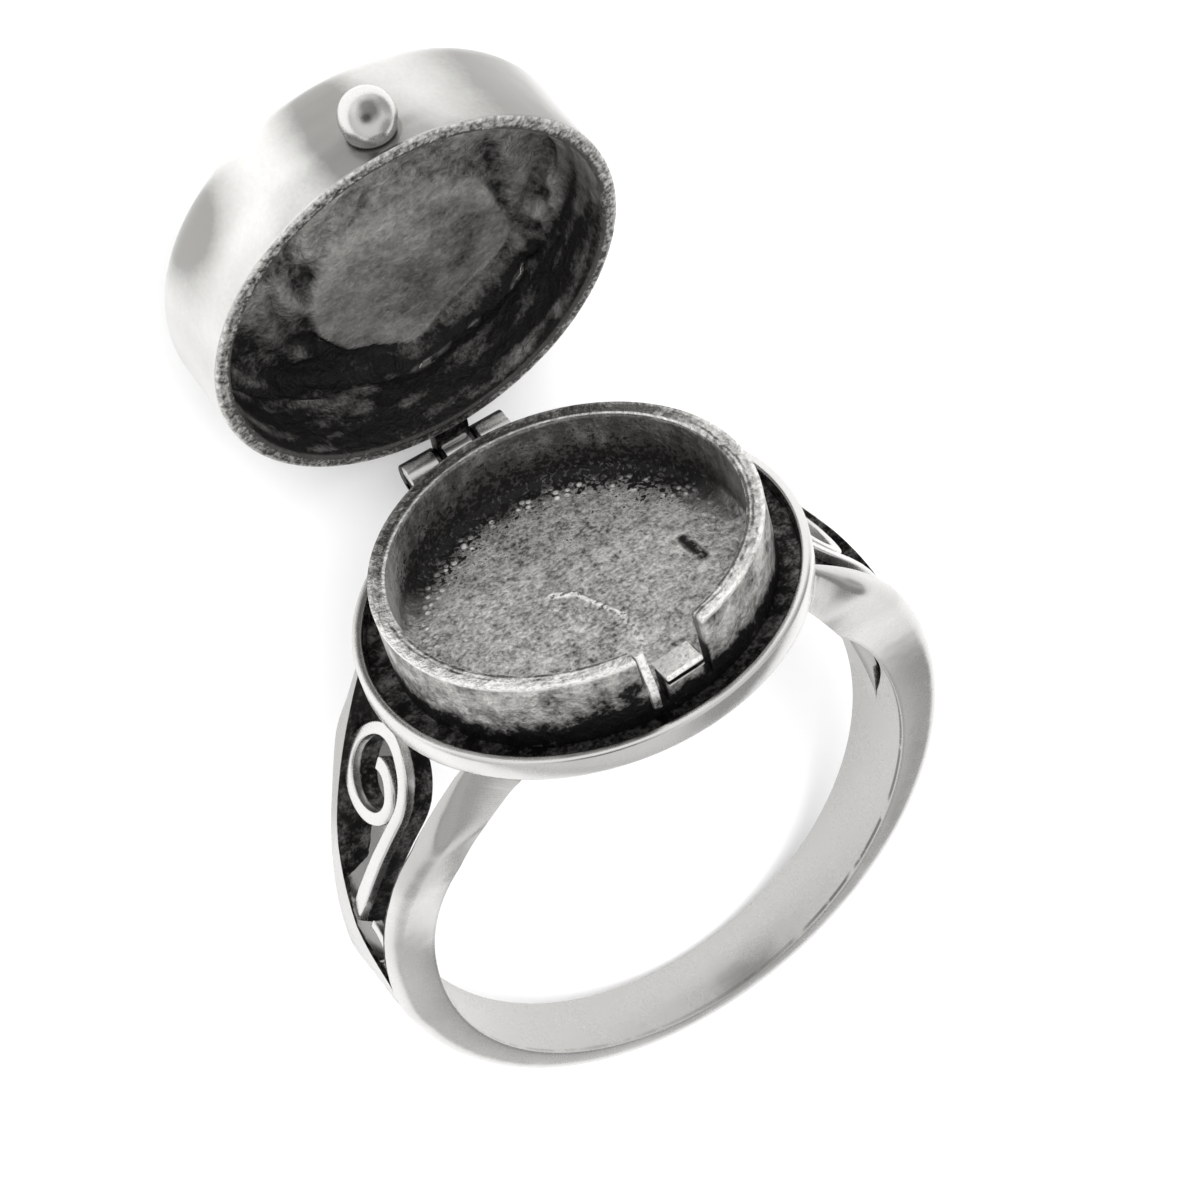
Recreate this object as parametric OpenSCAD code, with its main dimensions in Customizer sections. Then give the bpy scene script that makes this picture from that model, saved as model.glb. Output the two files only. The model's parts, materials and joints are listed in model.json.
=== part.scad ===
// Poison ring: an open lidded box on a split-shoulder silver band, lying on its hinge side.
// Each module is drawn as worn (finger along Y, box upwards, hinge at the back),
// and lay_down() turns the whole ring to the way that it rests. The origin is on the
// surface that it lies on, under the middle of its outline.

/* [Finger hole and band] */
// Radius of the finger hole
hole_r = 8.65; // [7.5:0.05:10.5]
// Thickness of the band at the very bottom
band_t = 0.8; // [0.6:0.05:1.4]
// How far the outer circle's centre lies above the hole's centre
outer_rise = 0.85; // [0.4:0.05:1.2]
// Width of the band at the very bottom
band_w = 2.36; // [2:0.02:4]
// Width of the band where the shoulders begin
shoulder_w = 3.2; // [2.8:0.05:4.4]
// Radius of the flare of the shoulders towards the tray
flare_r = 14; // [12:0.5:18]

/* [Pierced shoulders] */
// Tilt of the piercing direction above the horizontal, in degrees
pierce_tilt = 35; // [30:1:40]
// Half width of the piercing at its top
pierce_half_w = 3.3; // [3:0.05:3.4]
// Width of the flat scroll wire
wire_w = 0.34; // [0.3:0.01:0.4]
// Depth of the flat scroll wire
wire_depth = 0.95; // [0.7:0.05:1.2]
// How far the wire lies below the band's outer face
wire_recess = 0.12; // [0.05:0.01:0.3]

/* [Tray and cup] */
// Half length of the tray's oval, across the finger
tray_a = 7.06; // [6.9:0.02:7.2]
// Height of the tray's underside above the finger hole's centre
tray_z = 9.95; // [9.9:0.01:10]
// Height of the tray's wall
tray_h = 0.78; // [0.7:0.02:0.9]
// Width of the tray's raised rim
rim_w = 0.35; // [0.3:0.01:0.45]
// Thickness of the tray's floor
tray_floor_t = 0.32; // [0.25:0.01:0.4]
// Half length of the cup's outer oval
cup_a = 6.02; // [5.9:0.02:6.06]
// Height of the cup's rim above the tray's underside
cup_h = 2.75; // [2.4:0.05:3]
// Thickness of the cup's wall
cup_wall = 0.55; // [0.45:0.01:0.7]
// Thickness of the metal under the cup's hollow
cup_floor_t = 0.5; // [0.4:0.02:0.7]
// Width of the notch in the cup's front wall
notch_w = 2.2; // [1.8:0.05:2.6]
// Height of the notch's sill above the tray's underside
sill_h = 1.6; // [1.2:0.05:1.8]
// Difference between the half length and the half width of every oval
oval_slack = 0.3; // [0.2:0.02:0.4]

/* [Lid] */
// Half length of the lid's outer oval
lid_a = 6.77; // [6.74:0.01:6.8]
// Thickness of the lid's wall
lid_wall = 0.5; // [0.45:0.01:0.52]
// Height of the lid's straight side wall
lid_side_h = 2.9; // [2.4:0.05:3.2]
// Radius of the lid's rounded shoulder
lid_round = 1.1; // [0.9:0.05:1.3]
// Thickness of the lid's top
lid_top_t = 0.7; // [0.5:0.05:0.8]
// Rise of the lid's gently domed top
dome_h = 0.25; // [0.15:0.05:0.4]
// Gap between the closed lid and the tray's rim
close_gap = 0.04; // [0.03:0.01:0.08]
// Angle from closed at which the lid stands open
open_angle = 77; // [70:1:90]
// Radius of the ball that the lid is lifted by
ball_r = 0.85; // [0.75:0.05:0.9]
// Height of the ball's centre above the lid's rim
ball_h = 1; // [0.95:0.05:1.2]

/* [Hinge] */
// Distance of the hinge's axis behind the ovals' centre
hinge_y = 7.72; // [7.66:0.02:7.8]
// Outer radius of the knuckles
knuckle_r = 0.6; // [0.55:0.01:0.64]
// Whole length of the barrel
barrel_l = 3.7; // [3.4:0.1:4]
// Length of the lid's middle knuckle
mid_knuckle_l = 1.2; // [1:0.1:1.4]
// Radius of the hinge pin
pin_r = 0.27; // [0.25:0.01:0.3]
// Radial clearance of the pin in the lid's knuckle
pin_play = 0.03; // [0.02:0.01:0.05]
// Gap between neighbouring knuckles
knuckle_gap = 0.06; // [0.05:0.01:0.1]

/* [Hidden] */
SILVER = "#c9c8c4";
DARK_SILVER = "#8d8b86";
round_fn = 128;
small_fn = 48;
eps = 0.01;
ball_out = 0.58; // from the lid's wall to the middle of the ball

outer_r = hole_r + band_t + outer_rise;
band_bottom = -hole_r - band_t;
rim_z = tray_z + tray_h;
hinge_z = rim_z - 0.03;
lid_z = rim_z + close_gap;
sill_z = tray_z + sill_h;
lid_h = lid_side_h + lid_round;
lid_b = lid_a - oval_slack;
tray_b = tray_a - oval_slack;

// Four-centre oval: two end arcs and two side arcs meet at 45 degrees, so that
// every oval of the ring is an offset of the same one.
oval_c = (2 * oval_slack + sqrt(2) * oval_slack) / 2;
side_gain = 2 * oval_c - oval_slack;

// How the ring lies: the band's back bottom edge and the open lid's round shoulder touch the surface.
edge_y = band_w / 2;
round_rel_y = lid_b - lid_round - hinge_y;
round_rel_z = lid_side_h + lid_z - hinge_z;
round_y = hinge_y + round_rel_y * cos(open_angle) + round_rel_z * sin(open_angle);
round_z = hinge_z - round_rel_y * sin(open_angle) + round_rel_z * cos(open_angle);
reach = norm([round_y - edge_y, round_z - band_bottom]);
lean = atan2(round_y - edge_y, round_z - band_bottom) + asin(lid_round / reach);
lay_angle = 90 - lean;
floor_drop = sin(lay_angle) * edge_y - cos(lay_angle) * band_bottom;
ball_y_rel = -lid_b - ball_out - hinge_y;
ball_z_rel = ball_h + lid_z - hinge_z;
ball_y = hinge_y + ball_y_rel * cos(open_angle) + ball_z_rel * sin(open_angle);
ball_z = hinge_z - ball_y_rel * sin(open_angle) + ball_z_rel * cos(open_angle);
far_y = cos(lay_angle) * ball_y + sin(lay_angle) * ball_z + ball_r;
near_y = -cos(lay_angle) * edge_y + sin(lay_angle) * band_bottom;

// Turns the ring from the worn position to the way it lies on a surface.
module lay_down() {
    translate([0, -(far_y + near_y) / 2, floor_drop])
        rotate([-lay_angle, 0, 0])
            children();
}

// Half section of a disc, seen from the side, with its top outer edge rounded.
module round_section(r, h, edge) {
    difference() {
        square([r, h]);
        difference() {
            translate([r - edge, h - edge]) square([edge + 1, edge + 1]);
            translate([r - edge, h - edge]) circle(r = edge, $fn = small_fn);
        }
    }
}

// Half section of a disc with a square edge.
module plain_section(r, h) {
    square([r, h]);
}

// Solid oval of half length a and height h, turned as four quarters about the four centres.
module oval_block(a, h, edge = 0) {
    for (side = [0, 180]) {
        rotate([0, 0, side]) translate([oval_c, 0, 0]) rotate([0, 0, -45])
            rotate_extrude(angle = 90, $fn = round_fn)
                if (edge > 0) round_section(a - oval_c, h, edge); else plain_section(a - oval_c, h);
        rotate([0, 0, side]) translate([0, -oval_c, 0]) rotate([0, 0, 45])
            rotate_extrude(angle = 90, $fn = round_fn)
                if (edge > 0) round_section(a - oval_c + side_gain, h, edge);
                else plain_section(a - oval_c + side_gain, h);
    }
}

// A rod along X, round the Y and Z given.
module rod_x(r, l, y, z, x = 0) {
    translate([x, y, z]) rotate([0, 90, 0]) cylinder(r = r, h = l, center = true, $fn = small_fn);
}

// A rod along Y, as long as the ring is wide.
module rod_y(r, z) {
    translate([0, 0, z]) rotate([90, 0, 0]) cylinder(r = r, h = 12, center = true, $fn = round_fn);
}

// Outline of band and shoulders seen along the finger, before it is pierced.
module band_rounds() {
    cheek_z = 5.5;
    cheek_x = sqrt(outer_r * outer_r - (cheek_z - outer_rise) * (cheek_z - outer_rise));
    cheek_top_x = 6.45;
    inner_low = [6.91, 5.2];
    inner_top_x = 4.85;
    difference() {
        union() {
            rod_y(outer_r, outer_rise);
            rotate([90, 0, 0]) linear_extrude(height = 12, center = true)
                polygon([[-cheek_x, cheek_z], [cheek_x, cheek_z],
                         [cheek_top_x, tray_z], [-cheek_top_x, tray_z]]);
        }
        rod_y(hole_r, 0);
        rotate([90, 0, 0]) linear_extrude(height = 14, center = true)
            polygon([[-inner_low[0], inner_low[1]], [inner_low[0], inner_low[1]],
                     [inner_top_x, tray_z + 0.05], [-inner_top_x, tray_z + 0.05]]);
        translate([0, 0, tray_z + 5]) cube([30, 14, 10], center = true);
    }
}

// Outline of band and shoulders seen along X: a slow taper below, a flare to the tray above.
module band_faces() {
    flare_z = 1;
    top_w = shoulder_w / 2 + flare_r - sqrt(flare_r * flare_r - pow(tray_z - flare_z, 2));
    difference() {
        rotate([90, 0, 90]) linear_extrude(height = 26, center = true)
            polygon([[-band_w / 2, band_bottom - 1], [band_w / 2, band_bottom - 1],
                     [band_w / 2, band_bottom], [shoulder_w / 2, flare_z], [top_w, flare_z],
                     [top_w, tray_z], [-top_w, tray_z], [-top_w, flare_z],
                     [-shoulder_w / 2, flare_z], [-band_w / 2, band_bottom]]);
        for (side = [-1, 1])
            translate([0, side * (shoulder_w / 2 + flare_r), flare_z]) rotate([0, 90, 0])
                cylinder(r = flare_r, h = 28, center = true, $fn = 256);
    }
}

// Turns a drawing of a shoulder, x upwards and y backwards, to the piercing direction.
module on_shoulder() {
    mirror([1, 0, 0]) rotate([0, 90 - pierce_tilt, 0]) mirror([1, 0, 0]) children();
}

// Long triangle of the piercing. Its x is the height along the shoulder.
module piercing() {
    tip_x = -5.4;
    neck = [-4.2, 0.38];
    waist = [-1.4, 1.42];
    top_x = 5.2;
    linear_extrude(height = 14)
        polygon([[tip_x, 0], neck, waist, [top_x, pierce_half_w],
                 [top_x, -pierce_half_w], [waist[0], -waist[1]], [neck[0], -neck[1]]]);
}

// The scroll as a chain of bends: each is [radius, angle turned to the left].
scroll_start = [-3.45, -0.36];
scroll_heading = 180;
scroll_bends = [[0.45, -115], [0.45, -117], [6.3, 52], [1.25, 70], [2.3, 40], [1.25, 70],
                [1, 70], [1.7, 40], [1, 70], [0.7, 100]];

// One bend of wire round the Z axis, from one angle on.
module bent_wire(r, from, turned) {
    reach_r = 3 * r;
    depth = 14;
    intersection() {
        difference() {
            cylinder(r = r + wire_w / 2, h = depth, $fn = round_fn);
            translate([0, 0, -1]) cylinder(r = r - wire_w / 2, h = depth + 2, $fn = round_fn);
        }
        translate([0, 0, 1]) linear_extrude(height = depth - 2)
            polygon([[0, 0], reach_r * [cos(from), sin(from)],
                     reach_r * 1.5 * [cos(from + turned / 2), sin(from + turned / 2)],
                     reach_r * [cos(from + turned), sin(from + turned)]]);
    }
}

// Lays the bends one after another, each going on where the last one ended,
// with a core through every joint so that they are one wire.
module bend_chain(at, heading, bends, i = 0) {
    if (i < len(bends)) {
        r = bends[i][0];
        turned = bends[i][1];
        s = sign(turned);
        centre = at + s * r * [-sin(heading), cos(heading)];
        from = heading - s * 90;
        next = centre + r * [cos(from + turned), sin(from + turned)];
        intersection() {
            on_shoulder() translate(centre) bent_wire(r, from, turned);
            wire_layer();
        }
        if (i < len(bends) - 1) intersection() {
            on_shoulder() translate(next) cylinder(r = wire_w / 2 - 0.04, h = 14, $fn = 24);
            wire_layer();
        }
        bend_chain(next, heading + turned, bends, i + 1);
    }
}

// Cone that rounds the tops of the shoulders to the tray's oval.
module shoulder_cone() {
    low_z = 5;
    low_r = 10.5;
    top_r = tray_b + 0.1;
    translate([0, 0, low_z]) cylinder(r1 = low_r, r2 = top_r, h = tray_z - low_z, $fn = 256);
    translate([0, 0, low_z - 20]) cylinder(r = low_r + 5, h = 20, $fn = round_fn);
}

// Pierced band with both shoulders.
module band() {
    difference() {
        intersection() {
            band_rounds();
            band_faces();
            shoulder_cone();
        }
        for (side = [0, 1]) mirror([side, 0, 0]) on_shoulder() piercing();
    }
}

// Curved layer just under the band's outer face, which the scrolls fill.
module wire_layer() {
    difference() {
        rod_y(outer_r - wire_recess, outer_rise);
        rod_y(outer_r - wire_recess - wire_depth, outer_rise);
    }
}

// Scroll wires of both shoulders.
module scrolls() {
    for (side = [0, 1])
        mirror([side, 0, 0]) bend_chain(scroll_start, scroll_heading, scroll_bends);
}

// Oval tray with a raised rim, and the cup that stands on it.
module tray_and_cup() {
    difference() {
        union() {
            difference() {
                translate([0, 0, tray_z]) oval_block(tray_a, tray_h);
                translate([0, 0, tray_z + tray_floor_t]) oval_block(tray_a - rim_w, tray_h);
            }
            translate([0, 0, tray_z]) oval_block(cup_a, cup_h);
        }
        translate([0, 0, tray_z + cup_floor_t]) oval_block(cup_a - cup_wall, cup_h);
        translate([0, -cup_a, sill_z + 5]) cube([notch_w, 3, 10], center = true);
    }
}

// Bracket on the tray's back with the two outer knuckles.
module hinge_bracket() {
    heel_y = 8.15;
    foot_y = tray_b - 0.2;
    outer_l = (barrel_l - mid_knuckle_l) / 2 - knuckle_gap;
    difference() {
        union() {
            rotate([90, 0, 90]) linear_extrude(height = barrel_l, center = true)
                polygon([[foot_y, tray_z], [hinge_y - 0.35, tray_z],
                         [heel_y, hinge_z - 0.3], [hinge_y, hinge_z], [foot_y, hinge_z - 0.3]]);
            for (side = [-1, 1])
                rod_x(knuckle_r, outer_l, hinge_y, hinge_z, side * (barrel_l - outer_l) / 2);
        }
        rod_x(pin_r, barrel_l + 1, hinge_y, hinge_z);
        rod_x(knuckle_r + 0.1, mid_knuckle_l + 2 * knuckle_gap, hinge_y, hinge_z);
    }
}

module ring_body() {
    color(SILVER) lay_down() {
        union() {
            band();
            tray_and_cup();
            hinge_bracket();
        }
        scrolls();
    }
}

// Lid as it lies closed, with its rim at height 0.
module lid_shell() {
    cap_r = lid_b - lid_round - 0.3;
    bulge_r = (cap_r * cap_r + dome_h * dome_h) / (2 * dome_h);
    difference() {
        oval_block(lid_a, lid_h, lid_round);
        translate([0, 0, -eps]) oval_block(lid_a - lid_wall, lid_h - lid_top_t + eps, lid_round - 0.2);
    }
    intersection() {
        translate([0, 0, lid_h + dome_h - bulge_r]) sphere(r = bulge_r, $fn = 256);
        translate([0, 0, lid_h - 0.05]) cylinder(r = lid_a, h = 1, $fn = round_fn);
    }
}

// Strap behind the lid that ends in the middle knuckle.
module lid_knuckle() {
    strap_z = lid_z + 0.05;
    strap_t = 0.5;
    heel_t = 0.7;
    difference() {
        union() {
            rod_x(knuckle_r, mid_knuckle_l, hinge_y, hinge_z);
            rotate([90, 0, 90]) linear_extrude(height = mid_knuckle_l - 0.1, center = true)
                polygon([[lid_b - 0.25, strap_z], [hinge_y, strap_z], [hinge_y, strap_z + strap_t],
                         [lid_b + 0.25, strap_z + strap_t], [lid_b + 0.25, strap_z + heel_t],
                         [lid_b - 0.25, strap_z + heel_t]]);
        }
        rod_x(pin_r + pin_play, mid_knuckle_l + 1, hinge_y, hinge_z);
    }
}

// Ball that a fingernail lifts, on the lid's front wall.
module lid_ball() {
    translate([0, -lid_b - ball_out, lid_z + ball_h]) rotate([90, 0, 0]) sphere(r = ball_r, $fn = small_fn);
}

module lid() {
    color(SILVER) lay_down()
        translate([0, hinge_y, hinge_z]) rotate([-open_angle, 0, 0])
            translate([0, -hinge_y, -hinge_z]) {
                translate([0, 0, lid_z]) rotate([0, 0, 180]) lid_shell();
                lid_knuckle();
                lid_ball();
            }
}

module hinge_pin() {
    color(DARK_SILVER) lay_down() rod_x(pin_r, barrel_l, hinge_y, hinge_z);
}

ring_body();
lid();
hinge_pin();
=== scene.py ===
# %% [markdown]
# # A silver poison ring, open
# A ring with a small lidded box on it: the lid opens on a hinge, and the cup under it holds a
# pinch of powder or a keepsake. All of it is silver, polished where a cloth reaches and left
# black in the hollows.
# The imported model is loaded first, as the frame that every new piece is fitted to.

# %% Load the frame
import json
import math

import bpy
from mathutils import Matrix, Vector, noise


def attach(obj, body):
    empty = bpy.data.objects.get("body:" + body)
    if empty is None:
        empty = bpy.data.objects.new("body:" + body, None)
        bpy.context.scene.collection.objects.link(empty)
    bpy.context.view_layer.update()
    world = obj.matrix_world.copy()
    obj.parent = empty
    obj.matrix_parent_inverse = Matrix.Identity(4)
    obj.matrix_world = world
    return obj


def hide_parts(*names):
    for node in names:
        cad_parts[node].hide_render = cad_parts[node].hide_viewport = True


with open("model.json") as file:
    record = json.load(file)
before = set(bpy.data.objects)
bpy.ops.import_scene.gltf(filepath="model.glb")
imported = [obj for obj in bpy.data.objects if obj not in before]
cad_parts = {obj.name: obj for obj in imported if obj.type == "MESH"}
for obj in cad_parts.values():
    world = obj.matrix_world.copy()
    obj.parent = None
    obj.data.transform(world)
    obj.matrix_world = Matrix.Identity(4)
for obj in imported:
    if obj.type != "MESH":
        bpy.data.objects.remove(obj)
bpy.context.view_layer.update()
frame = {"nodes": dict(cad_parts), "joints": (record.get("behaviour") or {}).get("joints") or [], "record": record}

# %% [markdown]
# ## Two ways of looking at the ring
# A ring is easiest to draw as it is worn: finger along Y, box upwards, lid closed. But it is
# stored lying down with its lid open. So each piece is drawn as worn, in millimetres, and one
# matrix lays it down, from the finger hole's axis and the hinge.

# %% Work out how the worn ring lies
MM = 0.001
hole = [m for m in frame["record"]["mounts"] if m["name"] == "finger_hole"][0]
hinge = [j for j in frame["joints"] if j["name"] == "lid_hinge"][0]
lay_turn = math.atan2(hole["axis"][2], hole["axis"][1])
LAY = (Matrix.Translation(Vector(hole["pos_m"]))
       @ Matrix.Rotation(lay_turn, 4, "X") @ Matrix.Scale(MM, 4))
OPEN_ANGLE = math.radians(77)
HINGE = LAY.inverted() @ Vector(hinge["pos_m"])
OPEN_LID = (LAY @ Matrix.Translation(HINGE) @ Matrix.Rotation(-OPEN_ANGLE, 4, "X")
            @ Matrix.Translation(-HINGE))
print("hinge behind and above the finger hole's centre, in mm:",
      round(HINGE.y, 3), round(HINGE.z, 3))

# %% [markdown]
# ## Sizes
# All are in millimetres, the same as the solid model is built from.

# %% Sizes of the ring
HOLE_R = hole["dims"]["r_mm"]
BAND_T = 0.8
OUTER_RISE = 0.85
OUTER_R = HOLE_R + BAND_T + OUTER_RISE
BAND_HALF_W = 1.18
SHOULDER_HALF_W = 1.6
FLARE_R = 14
FLARE_Z = 1
TRAY_Z = 9.95
TRAY_H = 0.78
TRAY_FLOOR_Z = TRAY_Z + 0.32
RIM_Z = TRAY_Z + TRAY_H
TRAY_A = 7.06
RIM_W = 0.35
CUP_A = 6.02
CUP_WALL = 0.55
CUP_FOOT_Z = TRAY_Z + 0.1
CUP_RIM_Z = TRAY_Z + 2.75
CUP_FLOOR_Z = TRAY_Z + 0.5
OVAL_SLACK = 0.3
LID_A = 6.77
LID_WALL = 0.5
LID_Z = RIM_Z + 0.04
LID_SIDE_H = 2.9
LID_ROUND = 1.1
LID_TOP_T = 0.7
DOME_H = 0.25
LID_H = LID_SIDE_H + LID_ROUND
print("tray, cup and lid are as long as", [round(2 * a, 2) for a in (TRAY_A, CUP_A, LID_A)], "mm")


# %% [markdown]
# ## Helpers for modelling
# Each piece starts as a primitive, with everything else deselected, and ends with its place in
# its mesh: its object sits at the origin, unturned. `finish_piece` does the end of that, and
# says which body carries the piece.

# %% Start and finish a piece
def deselect_all():
    if bpy.context.object and bpy.context.object.mode == "EDIT":
        bpy.ops.object.mode_set(mode="OBJECT")
    bpy.ops.object.select_all(action="DESELECT")


def edit(select="DESELECT"):
    bpy.ops.object.mode_set(mode="EDIT")
    bpy.ops.mesh.select_mode(type="VERT")
    bpy.ops.mesh.select_all(action=select)


def done():
    bpy.ops.object.mode_set(mode="OBJECT")


def make_active(obj):
    deselect_all()
    obj.select_set(True)
    bpy.context.view_layer.objects.active = obj


def apply_transform():
    bpy.ops.object.transform_apply(location=True, rotation=True, scale=True)


def tidy_mesh(obj, merge=0.0005):
    """Join points that lie together, and turn the faces outwards."""
    make_active(obj)
    edit("SELECT")
    if merge:
        bpy.ops.mesh.remove_doubles(threshold=merge)
    bpy.ops.mesh.normals_make_consistent(inside=False)
    done()


def count_faces(obj):
    print(obj.name, "faces:", len(obj.data.polygons))


def add_modifier(obj, kind, **settings):
    make_active(obj)
    modifier = obj.modifiers.new(kind.lower(), kind)
    for key, value in settings.items():
        setattr(modifier, key, value)
    bpy.ops.object.modifier_apply(modifier=modifier.name)


def soften_edges(obj, width, segments=3, angle=32):
    add_modifier(obj, "BEVEL", width=width, segments=segments, limit_method="ANGLE",
                 angle_limit=math.radians(angle), harden_normals=False, use_clamp_overlap=True)


def finish_piece(obj, body, placed, nodes=()):
    obj.data.transform(placed)
    make_active(obj)
    bpy.ops.object.shade_smooth_by_angle(angle=math.radians(40))
    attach(obj, body)
    if nodes:
        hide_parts(*nodes)
    lo = [min(v.co[i] for v in obj.data.vertices) for i in range(3)]
    hi = [max(v.co[i] for v in obj.data.vertices) for i in range(3)]
    print(obj.name, "size in mm:", [round((b - a) / MM, 2) for a, b in zip(lo, hi)])


# %% [markdown]
# ## Turned ovals
# Tray, cup and lid are all an even wall that runs round an oval. Half of the section is drawn
# by extruding from point to point and is spun. The spun shape is drawn in a little along Y.

# %% Spin a section round the box's axis
def spin_section(name, section, steps=128):
    bpy.ops.mesh.primitive_plane_add(size=1, location=(0, 0, 0))
    obj = bpy.context.object
    obj.name = name
    edit("SELECT")
    bpy.ops.mesh.merge(type="CENTER")
    start = section[0]
    bpy.ops.transform.translate(value=(start[0], 0, start[1]))
    for a, b in zip(section, section[1:]):
        bpy.ops.mesh.extrude_region_move(
            TRANSFORM_OT_translate={"value": (b[0] - a[0], 0, b[1] - a[1])})
    bpy.ops.mesh.select_all(action="SELECT")
    bpy.ops.mesh.spin(steps=steps, angle=math.tau, center=(0, 0, 0), axis=(0, 0, 1))
    done()
    tidy_mesh(obj)
    return obj


def draw_in(obj, half_length):
    make_active(obj)
    edit("SELECT")
    narrow = (half_length - OVAL_SLACK) / half_length
    bpy.ops.transform.resize(value=(1, narrow, 1), center_override=(0, 0, 0))
    done()


def arc(cx, cz, r, start, end, count):
    step = (end - start) / count
    return [(cx + r * math.cos(math.radians(start + i * step)),
             cz + r * math.sin(math.radians(start + i * step))) for i in range(count + 1)]


# %% [markdown]
# ## Tray
# The tray is a flat oval plate with a thin wall round it, on which the lid closes. The cup
# stands inside it, with a narrow black channel between the two.

# %% Model the tray
tray = spin_section("tray", [
    (0, TRAY_Z), (TRAY_A - 1.2, TRAY_Z), (TRAY_A, TRAY_Z), (TRAY_A, RIM_Z),
    (TRAY_A - RIM_W, RIM_Z), (TRAY_A - RIM_W, TRAY_FLOOR_Z),
    (CUP_A - 0.3, TRAY_FLOOR_Z), (0, TRAY_FLOOR_Z)])
draw_in(tray, TRAY_A)
soften_edges(tray, 0.11)
count_faces(tray)

# %% [markdown]
# ## Cup
# The cup's wall is thick, and its floor meets it in a soft fillet. It is sunk a little into
# the tray.

# %% Model the cup
CUP_FILLET = 0.35
CUP_FLOOR_RINGS = (4.4, 3.6, 2.8, 2, 1.2, 0.5, 0)
cup_in = CUP_A - CUP_WALL
cup = spin_section("cup", [
    (0, CUP_FOOT_Z), (CUP_A - 1, CUP_FOOT_Z), (CUP_A, CUP_FOOT_Z), (CUP_A, CUP_RIM_Z),
    (cup_in, CUP_RIM_Z), (cup_in, CUP_FLOOR_Z + CUP_FILLET)]
    + arc(cup_in - CUP_FILLET, CUP_FLOOR_Z + CUP_FILLET, CUP_FILLET, 0, -90, 5)[1:]
    + [(r, CUP_FLOOR_Z) for r in CUP_FLOOR_RINGS])
draw_in(cup, CUP_A)

# %% [markdown]
# ## Notch
# Boxes cut a slot through the front of the wall down to a sill, and a narrow gap below it at
# each side. The wall's right end is rounded over before all the edges are eased. Its edges
# are found by their place, and what lies nearer than SAME counts as there.

# %% File the notch into the cup
NOTCH_W = 2.2
NOTCH_X = 0.2
SILL_Z = TRAY_Z + 1.6
GAPS_X = (-0.4, 1.17)
GAP_W = 0.24
END_ROUND = 0.24
SAME = 0.01


def cut_with_box(obj, size, at):
    deselect_all()
    bpy.ops.mesh.primitive_cube_add(size=1, location=at)
    box = bpy.context.object
    box.scale = size
    apply_transform()
    add_modifier(obj, "BOOLEAN", operation="DIFFERENCE", object=box, solver="EXACT")
    bpy.data.objects.remove(box)


cut_with_box(cup, (NOTCH_W, 2.4, 4), (NOTCH_X, -CUP_A + 0.1, SILL_Z + 2))
for gap_x in GAPS_X:
    cut_with_box(cup, (GAP_W, 1.1, 1), (gap_x, -CUP_A + 0.5, SILL_Z - 0.4))
make_active(cup)
wall_end = NOTCH_X + NOTCH_W / 2
edit()
bpy.ops.mesh.select_mode(type="EDGE")
done()
for edge in cup.data.edges:
    a, b = (cup.data.vertices[i].co for i in edge.vertices)
    at_end = abs(a.x - wall_end) < SAME and abs(b.x - wall_end) < SAME and a.y < -5
    level = min(a.z, b.z) > CUP_RIM_Z - SAME
    edge.select = at_end and level
bpy.ops.object.mode_set(mode="EDIT")
bpy.ops.mesh.bevel(offset=END_ROUND, segments=4, affect="EDGES")
done()
soften_edges(cup, 0.09, angle=38)
count_faces(cup)

# %% [markdown]
# ## Lid
# The lid is a deep oval cap with a straight side, a round shoulder and a faintly domed top. It
# is drawn closed, with its rim just above the tray's, and opened afterwards.

# %% Model the lid's shell
DOME_R = 5.67
CEILING_Z = LID_Z + (LID_H - LID_TOP_T)
lid_in = LID_A - LID_WALL
in_round = LID_ROUND - 0.2
dome = [(r, LID_Z + LID_H + DOME_H * (1 - (r / DOME_R) ** 2)) for r in range(6)]
lid_shell = spin_section("lid_shell",
    dome
    + arc(LID_A - LID_ROUND, LID_Z + LID_SIDE_H, LID_ROUND, 90, 0, 12)
    + [(LID_A, LID_Z + 1.5), (LID_A, LID_Z), (lid_in, LID_Z)]
    + [(lid_in, LID_Z + 0.3 + 0.14 * i) for i in range(15)]
    + arc(lid_in - in_round, CEILING_Z - in_round, in_round, 0, 90, 12)
    + [(5.2 * i / 44, CEILING_Z) for i in range(44, -1, -1)], steps=256)
draw_in(lid_shell, LID_A)
soften_edges(lid_shell, 0.1, angle=50)
count_faces(lid_shell)

# %% [markdown]
# The lid's hollow was never cleaned up. It is hammered and folded, a thin patch of sheet lies on
# its ceiling, and blobs of solder sit in the corner. These are real lumps, so the hollow's points
# are moved by noise. Patch and folds are kept as attributes for the paint.

# %% Hammer the hollow, and keep patch and folds as attributes
PATCH_AT = (0.9, 2.25)
PATCH_REACH = (3.55, 3.35)
PATCH_T = 0.15
BLOB_H = 0.3
DEEPEST = -0.22
HIGHEST = 0.5
BLOBS = [(5.95, 1.3, 13.45, 0.5), (5.5, 2.6, 13.65, 0.45), (4.75, 3.7, 13.75, 0.5),
         (4.65, 4.1, 13.1, 0.35), (5.75, 2.0, 13.2, 0.3), (5.1, 3.3, 13.4, 0.3)]


def mix(a, b, t):
    return a + (b - a) * t


def smooth(value, low, high):
    t = max(0, min(1, (value - low) / (high - low)))
    return t * t * (3 - 2 * t)


def window(value, points):
    """A value that runs through (place, height) points, and stays level beyond them."""
    for (a, low), (b, high) in zip(points, points[1:]):
        if a <= value <= b:
            return mix(low, high, (value - a) / (b - a))
    return points[0][1] if value < points[0][0] else points[-1][1]


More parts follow.
